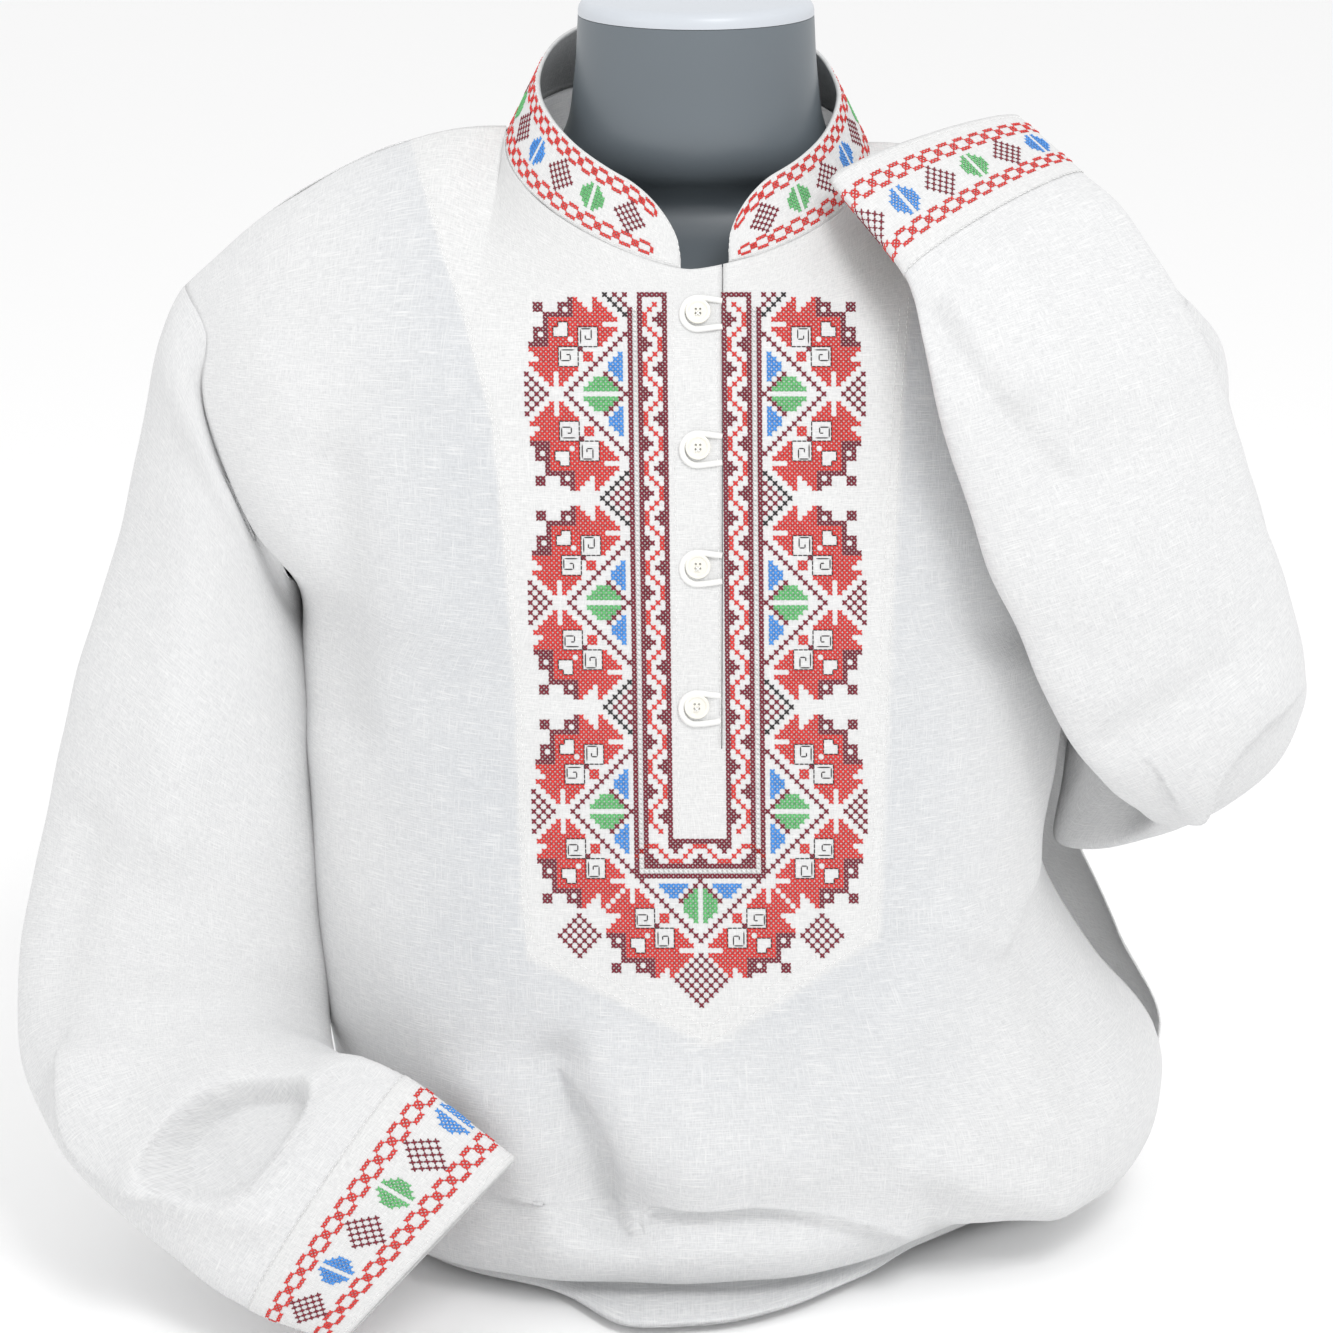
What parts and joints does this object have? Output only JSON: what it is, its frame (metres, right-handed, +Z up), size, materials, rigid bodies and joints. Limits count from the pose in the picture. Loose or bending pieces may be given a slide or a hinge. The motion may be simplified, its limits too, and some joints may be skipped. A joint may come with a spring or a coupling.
{
  "type": "embroidered folk shirt on a limbless torso form",
  "caption": "Long-sleeved white linen folk shirt with a stand collar, a button placket and a cross-stitched chest panel, collar and cuffs, worn by a limbless torso form.",
  "frame": {"origin": "middle of the torso form's flat base, on the ground", "axes": "+X towards the wearer's left, -Y out of the chest, +Z up"},
  "size_m": [0.6815, 0.3776, 0.6563],
  "materials": {
    "linen": "semi-sheer white linen, plain weave",
    "linen_double": "double layer of white linen",
    "loop_cloth": "white cloth tube",
    "button_pearl": "cream pearl, glossy",
    "form_grey": "satin dark grey",
    "form_lid": "satin light grey"
  },
  "bodies": {
    "root": {"front": "linen", "placket_underlap": "linen_double", "back": "linen", "sleeve_right_hanging": "linen", "cuff_right": "linen_double", "sleeve_left_folded": "linen", "cuff_left": "linen_double", "collar": "linen_double", "button_1": "button_pearl", "button_2": "button_pearl", "button_3": "button_pearl", "button_4": "button_pearl", "button_loop_1": "loop_cloth", "button_loop_2": "loop_cloth", "button_loop_3": "loop_cloth", "button_loop_4": "loop_cloth", "form_torso": "form_grey", "form_neck_cap": "form_lid"}
  },
  "joints": []
}
